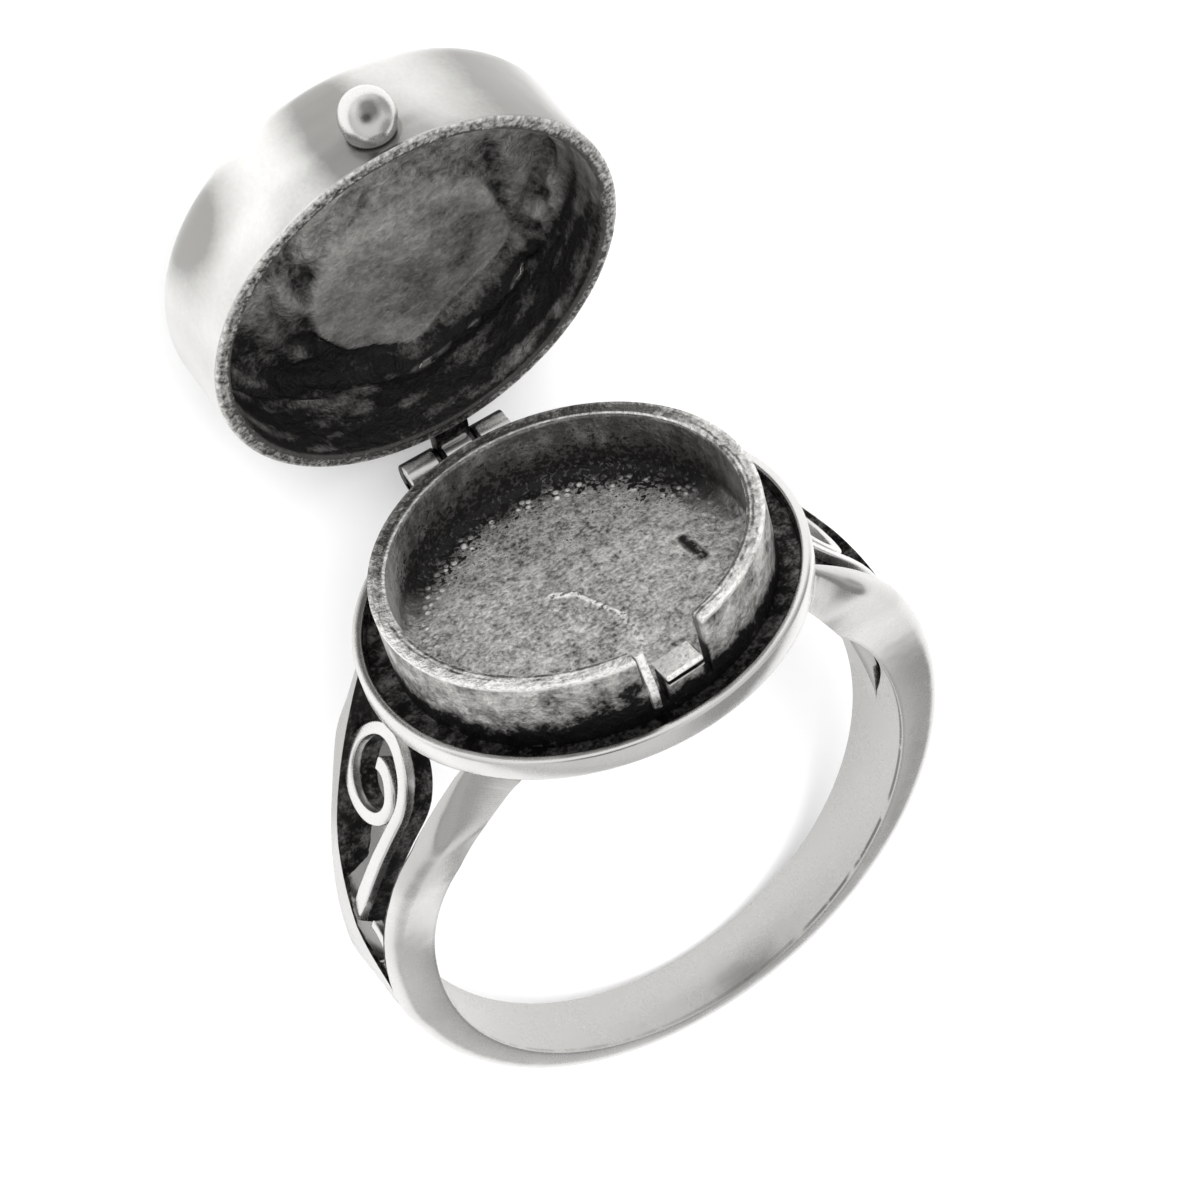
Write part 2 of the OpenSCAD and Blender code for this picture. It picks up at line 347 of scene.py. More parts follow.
lid_shell.data.attributes.new("patch", "FLOAT", "POINT")
lid_shell.data.attributes.new("ridge", "FLOAT", "POINT")
patch_mark = lid_shell.data.attributes["patch"]
ridge_mark = lid_shell.data.attributes["ridge"]
lid_shell.data.update()
normals = [v.normal.copy() for v in lid_shell.data.vertices]
for v, normal in zip(lid_shell.data.vertices, normals):
    x, y, z = v.co
    reach = math.hypot(x / LID_A, y / (LID_A - OVAL_SLACK))
    if reach > 0.935 or z > CEILING_Z + 0.02 or z < LID_Z + 0.25:
        continue
    turn = math.atan2(y, x)
    along = Vector((2.4 * turn * max(0.3, reach), 1.5 * z + 3 * reach, 4.2 * reach))
    folds = noise.noise(along) + 0.5 * noise.noise(along * 2.3)
    dents = noise.noise(v.co * 0.9) + 0.5 * noise.noise(v.co * 2.1) + 0.2 * noise.noise(v.co * 5)
    wobble = 0.16 * noise.noise(v.co * 0.5) + 0.02 * noise.noise(v.co * 2.5)
    patch_x = (x - PATCH_AT[0]) / PATCH_REACH[0]
    patch_y = (y - PATCH_AT[1]) / PATCH_REACH[1]
    on_ceiling = smooth(z, CEILING_Z - 0.7, CEILING_Z - 0.5)
    on_patch = (1 - smooth(math.hypot(patch_x, patch_y) + wobble, 0.95, 1.0)) * on_ceiling
    patch_mark.data[v.index].value = on_patch
    free = smooth(z, CUP_RIM_Z + 0.1, CUP_RIM_Z + 0.6)
    lift = mix(0.03, 0.34, free) * (folds * (1 - on_patch) + 0.25 * dents)
    lift += PATCH_T * on_patch
    blob = 0
    for bx, by, bz, r in BLOBS:
        blob += free * (1 - smooth((v.co - Vector((bx, by, bz))).length, 0, r * 1.4))
    lift += BLOB_H * blob
    ridge_mark.data[v.index].value = folds * (1 - on_patch) + 0.4 * dents + blob
    v.co += normal * max(DEEPEST, min(HIGHEST, lift))
print("points on the patch:", sum(1 for m in patch_mark.data if m.value > 0.5))

# %% [markdown]
# ## Ball
# A small ball is soldered to the lid's front, for a fingernail to lift. The solder makes a
# short neck where it meets the wall.

# %% Model the ball
BALL_R = 0.85
BALL_Y = -(LID_A - OVAL_SLACK) - 0.58
BALL_Z = LID_Z + 1
NECK_FROM = 0.3
NECK_GROWTH = 0.5
deselect_all()
bpy.ops.mesh.primitive_uv_sphere_add(segments=48, ring_count=24, radius=BALL_R,
                                     location=(0, BALL_Y, BALL_Z), rotation=(math.pi / 2, 0, 0))
ball = bpy.context.object
ball.name = "ball"
apply_transform()
for v in ball.data.vertices:
    behind = v.co.y - BALL_Y
    if behind > NECK_FROM:
        grow = 1 + NECK_GROWTH * (behind - NECK_FROM)
        v.co.x *= grow
        v.co.z = BALL_Z + (v.co.z - BALL_Z) * grow
count_faces(ball)

# %% [markdown]
# ## Hinge
# Three knuckles share one wire pin. The outer two sit on a bracket behind the tray, and the
# middle one is on the lid's strap.

# %% Model the hinge's knuckles, strap and bracket
KNUCKLE_R = 0.6
BARREL_L = 3.7
MID_L = 1.2
KNUCKLE_GAP = 0.06
HINGE_SOFT = 0.05
OUTER_L = (BARREL_L - MID_L) / 2 - KNUCKLE_GAP


def knuckle(name, x, length):
    deselect_all()
    bpy.ops.mesh.primitive_cylinder_add(vertices=48, radius=KNUCKLE_R, depth=length,
                                        location=(x, HINGE.y, HINGE.z),
                                        rotation=(0, math.pi / 2, 0))
    obj = bpy.context.object
    obj.name = name
    apply_transform()
    soften_edges(obj, HINGE_SOFT)
    return obj


def bar(name, outline, x0, x1, soft):
    """A bar along X with the given outline in Y and Z."""
    deselect_all()
    bpy.ops.mesh.primitive_circle_add(vertices=len(outline), fill_type="NGON")
    obj = bpy.context.object
    obj.name = name
    for v, (y, z) in zip(obj.data.vertices, outline):
        v.co = (x0, y, z)
    edit("SELECT")
    bpy.ops.mesh.extrude_region_move(TRANSFORM_OT_translate={"value": (x1 - x0, 0, 0)})
    done()
    tidy_mesh(obj, merge=0)
    soften_edges(obj, soft)
    return obj


outer_x = (BARREL_L - OUTER_L) / 2
knuckle_left = knuckle("knuckle_left", -outer_x, OUTER_L)
knuckle_right = knuckle("knuckle_right", outer_x, OUTER_L)
knuckle_mid = knuckle("knuckle_mid", 0, MID_L)
lid_b = LID_A - OVAL_SLACK
strap_outline = [(lid_b - 0.2, LID_Z + 0.02), (HINGE.y, LID_Z + 0.02),
                 (HINGE.y + 0.2, LID_Z + 0.3), (HINGE.y, LID_Z + 0.5),
                 (lid_b + 0.22, LID_Z + 0.52), (lid_b + 0.18, LID_Z + 0.74),
                 (lid_b - 0.2, LID_Z + 0.74)]
strap = bar("strap", strap_outline, -MID_L / 2, MID_L / 2, HINGE_SOFT)
foot_y = TRAY_A - OVAL_SLACK - 0.2
bracket_outline = [(foot_y, TRAY_Z), (HINGE.y - 0.35, TRAY_Z), (HINGE.y + 0.43, HINGE.z - 0.3),
                   (HINGE.y, HINGE.z), (foot_y, HINGE.z - 0.3)]
side_from = MID_L / 2 + KNUCKLE_GAP
bracket_left = bar("bracket_left", bracket_outline, -BARREL_L / 2, -side_from, HINGE_SOFT)
bracket_right = bar("bracket_right", bracket_outline, side_from, BARREL_L / 2, HINGE_SOFT)
saddle_outline = [(foot_y, TRAY_Z), (HINGE.y - 0.35, TRAY_Z), (HINGE.y - 0.2, TRAY_Z + 0.08),
                  (HINGE.y - 0.66, HINGE.z - 0.35), (foot_y, HINGE.z - 0.3)]
saddle = bar("bracket_saddle", saddle_outline, -side_from, side_from, 0.03)
print("knuckles in mm:", [round(length, 2) for length in (OUTER_L, MID_L, OUTER_L)])

# %% [markdown]
# ## Sill and tab in the notch
# A folded lip of sheet lies on the notch's sill, and a thin upright tab stands at its left.
# Both are short bars, bent to the oval. The fold is a slot sawn into the lip's front.

# %% Model the sill's lip and the tab
LIP_FRONT = -5.9
LIP_X = (-0.24, 1.02)
TAB_X = (-0.82, -0.55)
lip_outline = [(-4.92, SILL_Z - 0.1), (-4.92, SILL_Z + 0.03), (-5.5, SILL_Z + 0.08),
               (-5.83, SILL_Z + 0.16), (LIP_FRONT, SILL_Z + 0.09),
               (LIP_FRONT, SILL_Z - 0.2), (-5.6, SILL_Z - 0.28)]
sill = bar("sill_lip", lip_outline, *LIP_X, 0.05)
cut_with_box(sill, (1.05, 0.34, 0.1), (0.22, LIP_FRONT, SILL_Z - 0.03))
tab_outline = [(-5.08, 12.55), (-5.5, 12.66), (-5.87, 11.5), (-5.84, 10.7), (-5.5, 10.7)]
tab = bar("notch_tab", tab_outline, *TAB_X, 0.04)
for obj in (sill, tab):
    for v in obj.data.vertices:
        v.co.y += -LIP_FRONT * (1 - math.sqrt(1 - (v.co.x / CUP_A) ** 2))
print("the lip stands", round(-LIP_FRONT - (CUP_A - OVAL_SLACK), 2), "mm proud of the cup's wall")

# %% [markdown]
# ## Band
# The band is one strip that splits at each shoulder into two rails. One quarter of it is
# modelled as a bar that follows the finger hole, from the bottom up to the tray. Where the
# piercing starts, the bar's inner side moves away from the middle line. Two mirrors make the
# whole band from it.

# %% Say how wide the band and its piercing are
PIERCE_TILT = math.radians(35)
PIERCING = [(-5.4, 0), (-4.2, 0.38), (-1.4, 1.42), (5.2, 3.3)]
CONE_LOW = (5, 10.5)
CONE_TOP = (TRAY_Z, TRAY_A - OVAL_SLACK + 0.1)
CONE_BLEND = 0.12


def piercing_half_width(x, z):
    """Half the piercing's width, which widens upwards from point to point of its drawing."""
    u = -x * math.sin(PIERCE_TILT) + z * math.cos(PIERCE_TILT)
    for (u0, v0), (u1, v1) in zip(PIERCING, PIERCING[1:]):
        if u0 <= u <= u1:
            return mix(v0, v1, (u - u0) / (u1 - u0))
    return 0 if u < PIERCING[0][0] else PIERCING[-1][1]


def band_half_width(x, z):
    """Half the band's width: it flares to the shoulders, and a cone under the tray trims it."""
    if z < FLARE_Z:
        low = -HOLE_R - BAND_T
        half = mix(BAND_HALF_W, SHOULDER_HALF_W, (z - low) / (FLARE_Z - low))
    else:
        half = SHOULDER_HALF_W + FLARE_R - math.sqrt(FLARE_R ** 2 - (z - FLARE_Z) ** 2)
    if z > CONE_LOW[0]:
        t = (z - CONE_LOW[0]) / (CONE_TOP[0] - CONE_LOW[0])
        cone_r = mix(CONE_LOW[1], CONE_TOP[1], t)
        on_cone = math.sqrt(max(0.01, cone_r ** 2 - x ** 2))
        blend = CONE_BLEND * max(0.01, min(1, 2 * t))
        near = math.exp(-abs(half - on_cone) / blend)
        half = min(half, on_cone) - blend * math.log(1 + near)
    return half


print("half width of the piercing from its tip to the tray, in mm:", [v for _, v in PIERCING])

# %% [markdown]
# Up to the shoulders the bar keeps to the finger hole's circle. Its inner edge runs straight
# from there to the tray, and its outer edge bulges a little.

# %% Say where the bar's inner and outer edges run
SPLIT_ANGLE = 30
TOP_Z = TRAY_Z + 0.05
BEND_Z = 5.2
INNER_TOP_X = 4.85
CHEEK_Z = 5.5
OUTER_TOP_X = 5.9
CHEEK_BULGE = 0.25


def outer_reach(angle):
    rise = OUTER_RISE
    return rise * math.sin(angle) + math.sqrt(OUTER_R ** 2 - (rise * math.cos(angle)) ** 2)


def bar_station(t):
    """Inner and outer point in X and Z: t is 0 at the bottom, 1 at the split, 2 at the tray."""
    angle = math.radians(mix(-90, SPLIT_ANGLE, min(t, 1)))
    reach = outer_reach(angle)
    inner_p = Vector((HOLE_R * math.cos(angle), HOLE_R * math.sin(angle)))
    outer_p = Vector((reach * math.cos(angle), reach * math.sin(angle)))
    if t > 1:
        z_in = mix(inner_p.y, TOP_Z, t - 1)
        z_out = mix(outer_p.y, TOP_Z, t - 1)
        if z_in < BEND_Z:
            x_in = math.sqrt(HOLE_R ** 2 - z_in ** 2)
        else:
            x_bend = math.sqrt(HOLE_R ** 2 - BEND_Z ** 2)
            x_in = mix(x_bend, INNER_TOP_X, (z_in - BEND_Z) / (TOP_Z - BEND_Z))
        if z_out < CHEEK_Z:
            x_out = math.sqrt(OUTER_R ** 2 - (z_out - OUTER_RISE) ** 2)
        else:
            x_cheek = math.sqrt(OUTER_R ** 2 - (CHEEK_Z - OUTER_RISE) ** 2)
            up = (z_out - CHEEK_Z) / (TOP_Z - CHEEK_Z)
            x_out = mix(x_cheek, OUTER_TOP_X, up) + CHEEK_BULGE * math.sin(math.pi * up)
        inner_p = Vector((x_in, z_in))
        outer_p = Vector((x_out, z_out))
    return inner_p, outer_p


# %% [markdown]
# The bar's outer corner has been rounded off with a file, and its inner edge in the piercing is
# chamfered. The file took a little more off the ring's left side, and the saw strayed to the
# front at the tip of the left piercing.

# %% Round the outer corner, and let the left side stray
CORNER_STEPS = 6
CORNER_R = 0.5
CHAMFER = 0.65
FRONT_DROP = 0.3
SIDE_DROP = 0.25
LEAN = 0.1
LEAN_POWER = 1.37


def bar_section(t):
    """The bar's section at a station, as points from the piercing round the outside."""
    inner_p, outer_p = bar_station(t)
    half = band_half_width(outer_p.x, outer_p.y)
    gap = piercing_half_width(outer_p.x, outer_p.y)
    r = min(CORNER_R, 0.75 * (half - gap))
    inward = (inner_p - outer_p).normalized()
    inner_half = band_half_width(inner_p.x, inner_p.y)
    inner_gap = piercing_half_width(inner_p.x, inner_p.y)
    ease = min(1, inner_gap / 0.8) * window(inner_p.y, [(6.5, 1), (8.5, 0.3)])
    section = [(inner_p - inward * CHAMFER * ease, inner_gap),
               (inner_p, inner_gap + 0.55 * (inner_half - inner_gap) * ease),
               (inner_p, inner_half)]
    for i in range(CORNER_STEPS + 1):
        turn = math.pi / 2 * i / CORNER_STEPS
        section.append((outer_p + inward * r * (1 - math.sin(turn)),
                        half - r * (1 - math.cos(turn))))
    section.append((outer_p, gap))
    return section


def stray(p, leans=True):
    """Move a point of the left side to where the real ring has it."""
    if p.x > 0:
        return p
    y = p.y
    if leans:
        u = p.z * math.cos(PIERCE_TILT) + p.x * math.sin(PIERCE_TILT)
        fade = window(u, [(-7.5, 0), (-5.4, 1), (8, 1)])
        y -= LEAN * max(0, -u) ** LEAN_POWER * fade
    reach = math.hypot(p.x, p.z)
    thick = max(0, min(1, (reach - HOLE_R) / 1.5))
    front = window(p.z, [(-1, 0), (1, 1), (7, 1), (9.5, 0)]) * window(-y, [(0, 0), (1.2, 1)])
    side = math.degrees(math.atan2(p.z, -p.x))
    thin = window(side, [(-75, 0), (-30, 1), (-10, 1), (5, 0)])
    grown = reach - thick * (FRONT_DROP * front + SIDE_DROP * thin)
    return Vector((p.x * grown / reach, y, p.z * grown / reach))


# %% [markdown]
# A grid is wrapped round the stations. Its faces on the middle line go, so that the mirrored
# quarters join. The bevel leaves faces with many corners at the piercing's tip, and these are
# split into triangles, or they would shade grey.

# %% Model a quarter of the band and mirror it
STATIONS = 96
columns = CORNER_STEPS + 5
deselect_all()
bpy.ops.mesh.primitive_grid_add(x_subdivisions=columns, y_subdivisions=STATIONS, size=2)
band = bpy.context.object
band.name = "band"
for v in band.data.vertices:
    column = round((v.co.x + 1) * columns / 2) % columns
    place, half = bar_section(v.co.y + 1)[column]
    v.co = (place.x, half, place.y)
tidy_mesh(band, 0.0001)
edit()
done()
for face in band.data.polygons:
    on_middle = [abs(band.data.vertices[i].co.y) < 1e-4 for i in face.vertices]
    face.select = all(on_middle)
bpy.ops.object.mode_set(mode="EDIT")
bpy.ops.mesh.select_mode(type="FACE")
bpy.ops.mesh.delete(type="FACE")
done()
add_modifier(band, "MIRROR", use_axis=(True, True, False), use_mirror_merge=True,
             merge_threshold=0.001)
for v in band.data.vertices:
    in_slot = abs(v.co.y) < piercing_half_width(abs(v.co.x), v.co.z) + 0.002
    v.co = stray(v.co, leans=in_slot)
tidy_mesh(band, merge=0)
soften_edges(band, 0.09, segments=3, angle=40)
make_active(band)
edit()
bpy.ops.mesh.select_mode(type="FACE")
bpy.ops.mesh.select_face_by_sides(number=4, type="GREATER")
bpy.ops.mesh.poke()
done()
count_faces(band)

# %% [markdown]
# ## Scrolls
# An S of flat wire fills each shoulder. It is bent with round pliers, so it is a chain of arcs,
# each with a radius and a turn in degrees. The wire stands on edge and follows the band's
# curve, a little below its surface.

# %% Walk along the scroll's bends and make the wire
SCROLL_START = (-3.05, -0.08)
SCROLL_HEADING = 237
SCROLL_BENDS = [(1, -171), (0.72, -105), (9, 34), (1.54, 61), (2.07, 32), (1.21, 108),
                (1.41, 54), (1.59, 48), (0.69, 80), (0.99, 88)]
WIRE_W = 0.42
WIRE_DEPTH = 0.95
WIRE_RECESS = 0.12


def scroll_line():
    """Points of the wire's middle line with their headings, in the shoulder's flat drawing."""
    x, y = SCROLL_START
    heading = math.radians(SCROLL_HEADING)
    line = [(x, y, heading)]
    for r, turned in SCROLL_BENDS:
        side = math.copysign(1, turned)
        cx = x - side * r * math.sin(heading)
        cy = y + side * r * math.cos(heading)
        count = max(6, int(abs(turned) / 7))
        for i in range(1, count + 1):
            h = heading + math.radians(turned) * i / count
            line.append((cx + side * r * math.sin(h), cy - side * r * math.cos(h), h))
        x, y, heading = line[-1]
    return line


def on_shoulder(u, v, depth):
    """A point of the drawing, that far below the band's outer face, on the right shoulder."""
    s, c, e = math.sin(PIERCE_TILT), math.cos(PIERCE_TILT), OUTER_RISE
    r = OUTER_R - depth
    out = e * s + math.sqrt((e * s) ** 2 - (u * u + e * e - 2 * e * u * c - r * r))
    return (-u * s + out * c, v, u * c + out * s)


def model_scroll(name, side):
    """The wire as a four-sided bar. "deep" is 0 on its upper edge and 1 on its lower one."""
    line = scroll_line()
    deselect_all()
    bpy.ops.mesh.primitive_grid_add(x_subdivisions=4, y_subdivisions=len(line) - 1, size=2)
    obj = bpy.context.object
    obj.name = name
    deep = obj.data.attributes.new("deep", "FLOAT", "POINT")
    for v in obj.data.vertices:
        corner = round((v.co.x + 1) / 0.5) % 4
        deep.data[v.index].value = 0 if corner in (0, 3) else 1
        u, w, heading = line[round((v.co.y + 1) / 2 * (len(line) - 1))]
        across = WIRE_W / 2 if corner in (0, 1) else -WIRE_W / 2
        depth = WIRE_RECESS if corner in (0, 3) else WIRE_RECESS + WIRE_DEPTH
        p = on_shoulder(u - across * math.sin(heading), w + across * math.cos(heading), depth)
        v.co = stray(Vector((side * p[0], p[1], p[2])))
    tidy_mesh(obj, 0.0001)
    make_active(obj)
    edit()
    bpy.ops.mesh.select_non_manifold()
    bpy.ops.mesh.edge_face_add()
    done()
    tidy_mesh(obj, merge=0)
    soften_edges(obj, 0.07, angle=50)
    return obj


scroll_right = model_scroll("scroll_right", 1)
scroll_left = model_scroll("scroll_left", -1)
count_faces(scroll_left)

# %% [markdown]
# ## Paint
# All of it is silver, so the finishes differ only in how bright, how rough and how black they
# are. Each is worked out from the place on the ring, in millimetres as worn. A small class lets
# the sums be written as sums, and each one adds a Math node.

# %% A value that varies over a surface
class Varying:
    def __init__(self, paint, socket):
        self.paint, self.socket = paint, socket

    def math_with(self, operation, *others):
        return self.paint.number("ShaderNodeMath", {"operation": operation}, [self, *others])

    def __add__(self, other):
        return self.math_with("ADD", other)

    def __sub__(self, other):
        return self.math_with("SUBTRACT", other)

    def __rsub__(self, other):
        return self.paint.number("ShaderNodeMath", {"operation": "SUBTRACT"}, [other, self])

    def __mul__(self, other):
        return self.math_with("MULTIPLY", other)

    def __truediv__(self, other):
        return self.math_with("DIVIDE", other)

    def __neg__(self):
        return self.math_with("MULTIPLY", -1)

    __radd__ = __add__
    __rmul__ = __mul__

    def __pow__(self, other):
        return self.math_with("POWER", other)

    def clip(self):
        return self.paint.number("ShaderNodeClamp", {}, [self])

    def rises(self, low, high):
        """0 below low, 1 above high, and smooth between them."""
        return self.paint.number("ShaderNodeMapRange", {"interpolation_type": "SMOOTHSTEP"},
                                 {"Value": self, "From Min": low, "From Max": high})

    def falls(self, low, high):
        return 1 - self.rises(low, high)

    def size(self):
        return self.math_with("ABSOLUTE")


class Nodes:
    """A tree of shader nodes, built one by one."""

    def __init__(self, tree):
        self.tree = tree

    def node(self, kind, settings, values):
        made = self.tree.nodes.new(kind)
        for key, value in settings.items():
            setattr(made, key, value)
        pairs = values.items() if isinstance(values, dict) else enumerate(values)
        for key, value in pairs:
            self.feed(made.inputs[key], value)
        return made

    def feed(self, socket, value):
        if isinstance(value, Varying):
            self.tree.links.new(value.socket, socket)
        elif hasattr(value, "is_output"):
            self.tree.links.new(value, socket)
        else:
            socket.default_value = value

    def number(self, kind, settings, values):
        made = self.node(kind, settings, values)
        return Varying(self, made.outputs[0])

    def place(self, to_worn):
        """The place on the ring as worn, in millimetres."""
        at = self.node("ShaderNodeTexCoord", {}, {}).outputs["Object"]
        spot, turn, _ = to_worn.decompose()
        return self.node("ShaderNodeMapping", {"vector_type": "POINT"}, {
            "Vector": at, "Location": spot, "Rotation": turn.to_euler(),
            "Scale": (1 / MM, 1 / MM, 1 / MM)}).outputs[0]

    def axes(self, vector):
        split = self.node("ShaderNodeSeparateXYZ", {}, {"Vector": vector})
        return [Varying(self, out) for out in split.outputs]

    def noise(self, vector, scale, detail=4, rough=0.55, distortion=0):
        return self.number("ShaderNodeTexNoise", {}, {
            "Vector": vector, "Scale": scale, "Detail": detail, "Roughness": rough,
            "Distortion": distortion})

    def attribute(self, name):
        made = self.node("ShaderNodeAttribute", {"attribute_name": name}, {})
        return Varying(self, made.outputs["Fac"])

    def stretched(self, vector, scale):
        return self.node("ShaderNodeMapping", {"vector_type": "POINT"},
                         {"Vector": vector, "Scale": scale}).outputs[0]

    def cells(self, vector, scale):
        return self.number("ShaderNodeTexVoronoi", {"feature": "F1"},
                           {"Vector": vector, "Scale": scale})

    def between(self, mask, low, high):
        """A colour from low to high as the mask goes from 0 to 1."""
        made = self.node("ShaderNodeMix", {"data_type": "RGBA"}, {"Factor": mask})
        self.feed(made.inputs[6], low)
        self.feed(made.inputs[7], high)
        return made.outputs[2]

    def bump(self, height, distance, strength=1.0, normal=None):
        made = self.node("ShaderNodeBump", {}, {
            "Height": height, "Distance": distance * MM, "Strength": strength})
        if normal is not None:
            self.tree.links.new(normal, made.inputs["Normal"])
        return made.outputs[0]


class Paint(Nodes):
    """One material, which starts as a plain one."""

    def __init__(self, name):
        self.material = bpy.data.materials.new(name)
        self.material.use_nodes = True
        self.material.diffuse_color = (0.75, 0.75, 0.74, 1)
        super().__init__(self.material.node_tree)
        self.shader = self.tree.nodes["Principled BSDF"]

    def set(self, **sockets):
        for key, value in sockets.items():
            self.feed(self.shader.inputs[key.replace("_", " ")], value)
        return self.material


# %% [markdown]
# The greys are all a little warm. Both matrices lead back to the ring as worn.

# %% Name the greys
WORN = LAY.inverted()
LID_SHUT = OPEN_LID.inverted()
BRIGHT = (0.7, 0.695, 0.685, 1)
DULL = (0.47, 0.465, 0.455, 1)
BLACK = (0.012, 0.0115, 0.011, 1)
CHARCOAL = (0.055, 0.052, 0.049, 1)
# This dusty grey also paints the lid's dark reflections.
DUST_AND_DARK_REFLECTION = (0.27, 0.265, 0.255, 1)
# This smoky grey also paints shade on the band and a dark reflection on the ball.
SMOKE_AND_SHADE = (0.13, 0.127, 0.122, 1)
# This rubbed grey also paints a highlight on the cup's rim.
RUBBED_AND_HIGHLIGHT = (0.9, 0.89, 0.87, 1)
print("darkest and brightest grey:", BLACK[0], RUBBED_AND_HIGHLIGHT[0])


# %% [markdown]
# ## Polished silver
# A haze of fine scratches softens the polish, and the hand leaves faint waves in the surface.

# %% Paint polished silver
def scratches(paint, at):
    fine = paint.noise(paint.stretched(at, (1, 14, 14)), 3, 3)
    cross = paint.noise(paint.stretched(at, (12, 1.5, 1.5)), 3, 3)
    waves = paint.noise(at, 0.55, 2)
    first = paint.bump(waves, 0.12, 0.3)
    second = paint.bump(fine, 0.006, 0.2, first)
    return paint.bump(cross, 0.006, 0.15, second)


def polished(name, to_worn, dark=None, shade=None, stain_and_shade=None):
    """Silver that is duller in the shade, black and dusty in the dark, and smoky in a stain. The dark and stain
    masks also carry painted shade, and on the ball a painted reflection.
    """
    paint = Paint(name)
    at = paint.place(to_worn)
    x, y, z = paint.axes(at)
    haze = paint.noise(at, 0.45, 3)
    grain = paint.noise(at, 9, 4, 0.6)
    rough = 0.2 + 0.08 * haze + 0.06 * grain
    tone = 0.35 + 0.5 * haze + 0.3 * (grain - 0.5)
    if shade is not None:
        tone = tone - shade(paint, at, x, y, z)
    colour = paint.between(tone.clip(), DULL, BRIGHT)
    if dark is not None:
        # The dark mask is patina and grime, and on the hinge and strap also painted shade.
        black = dark(paint, at, x, y, z)
        ragged = (black + 0.5 * (paint.noise(at, 5, 5) - 0.5)).rises(0.35, 0.62)
        dust = paint.noise(at, 1.6, 5, 0.7) + 0.5 * (paint.noise(at, 9, 3, 0.6) - 0.5)
        soot_and_shade = paint.between(dust.rises(0.4, 0.8), BLACK, DUST_AND_DARK_REFLECTION)
        colour = paint.between(ragged, colour, soot_and_shade)
        rough = rough + 0.3 * ragged
    # The smoky grey is for stains, and also for painted shade and a painted reflection.
    if stain_and_shade is not None:
        colour = paint.between(stain_and_shade(paint, at, x, y, z), colour, SMOKE_AND_SHADE)
    return paint.set(Base_Color=colour, Roughness=rough, Metallic=1.0,
                     Normal=scratches(paint, at))


# %% [markdown]
# ## Where the polish ends
# Each function says how much grime, tarnish, painted shade and painted reflection lies at a place.

# %% Paint band, wires, hinge and ball
def in_piercing(paint, at, x, y, z):
    """1 on the walls of the pierced shoulders, where the polish doesn't reach."""
    u = z * math.cos(PIERCE_TILT) - x.size() * math.sin(PIERCE_TILT)
    below = (-u).math_with("MAXIMUM", 0)
    y = y + LEAN * below ** LEAN_POWER * x.falls(-0.1, 0.1)
    (u0, v0), (u1, v1) = PIERCING[1], PIERCING[2]
    near = v0 + (u - u0) * ((v1 - v0) / (u1 - u0))
    (u2, v2) = PIERCING[3]
    far = v1 + (u - u1) * ((v2 - v1) / (u2 - u1))
    half = near.math_with("MINIMUM", far)
    deep = OUTER_R - (x * x + (z - OUTER_RISE) * (z - OUTER_RISE)) ** 0.5
    margin = 0.04 + 0.18 * deep.clip() * deep.falls(1.1, 1.4)
    inside = (half + margin - y.size()).rises(0, 0.05)
    return inside * z.rises(-0.5, 0.6) * 0.9


def finger_face_and_rail_shade(paint, at, x, y, z):
    """1 on the face that touches the finger, which is satin and greyer than the rest, and painted shade on the
    upper rails.
    """
    reach = (x * x + z * z) ** 0.5
    face = (reach - HOLE_R).size().falls(0.04, 0.12)
    # The term on z is painted shade, which greys the upper rails' reflection.
    return 0.22 + face * (0.26 + 0.5 * paint.noise(at, 0.3, 2)) + 0.9 * z.rises(4.5, 7)


def band_line_and_rail_shade(paint, at, x, y, z):
    """A black line along the finger hole's front edge, and painted shade that dulls the left rail."""
    reach = (x * x + z * z) ** 0.5
    face = (reach - HOLE_R).size().falls(0.03, 0.1)
    half = BAND_HALF_W + 0.04 * (z + HOLE_R + BAND_T)
    line = face * (-y - half + 0.13).size().falls(0.03, 0.09) * z.falls(2, 4)
    line = line * (0.35 + 0.65 * x.rises(2, 5)) * paint.noise(at, 1.2, 4).rises(0.35, 0.5)
    # The second term is painted shade on the top of the left rail.
    return 0.9 * line + 0.22 * z.rises(4.5, 6.5) * x.falls(-5, -4)


def on_wire_side(paint, at, x, y, z):
    """Grows from 0 on the wire's upper edge to 1 below it."""
    return paint.attribute("deep").rises(0.12, 0.5)


def hinge_grime_and_shade(paint, at, x, y, z):
    """Grime between the knuckles, and painted shade on all that faces the lid."""
    gap_at = MID_L / 2 + KNUCKLE_GAP / 2
    gaps = (x.size() - gap_at).size().falls(0.05, 0.22)
    # Under and behind the barrel the darkening is painted shade from the lid's rim.
    under = z.falls(HINGE.z - 0.1, HINGE.z + 0.35)
    behind = y.rises(HINGE.y - 0.1, HINGE.y + 0.3)
    return (gaps + under * 0.8 + behind * 0.6 + 0.25).clip()


def strap_grime_and_shade(paint, at, x, y, z):
    """Painted shade on the lid's strap, and grime at both ends of its knuckle."""
    ends = (x.size() - MID_L / 2).size().falls(0.05, 0.2)
    # The term on y is painted shade where the lid's rim covers the strap.
    return (ends + y.falls(HINGE.y - 0.9, HINGE.y - 0.6) + 0.15).clip()


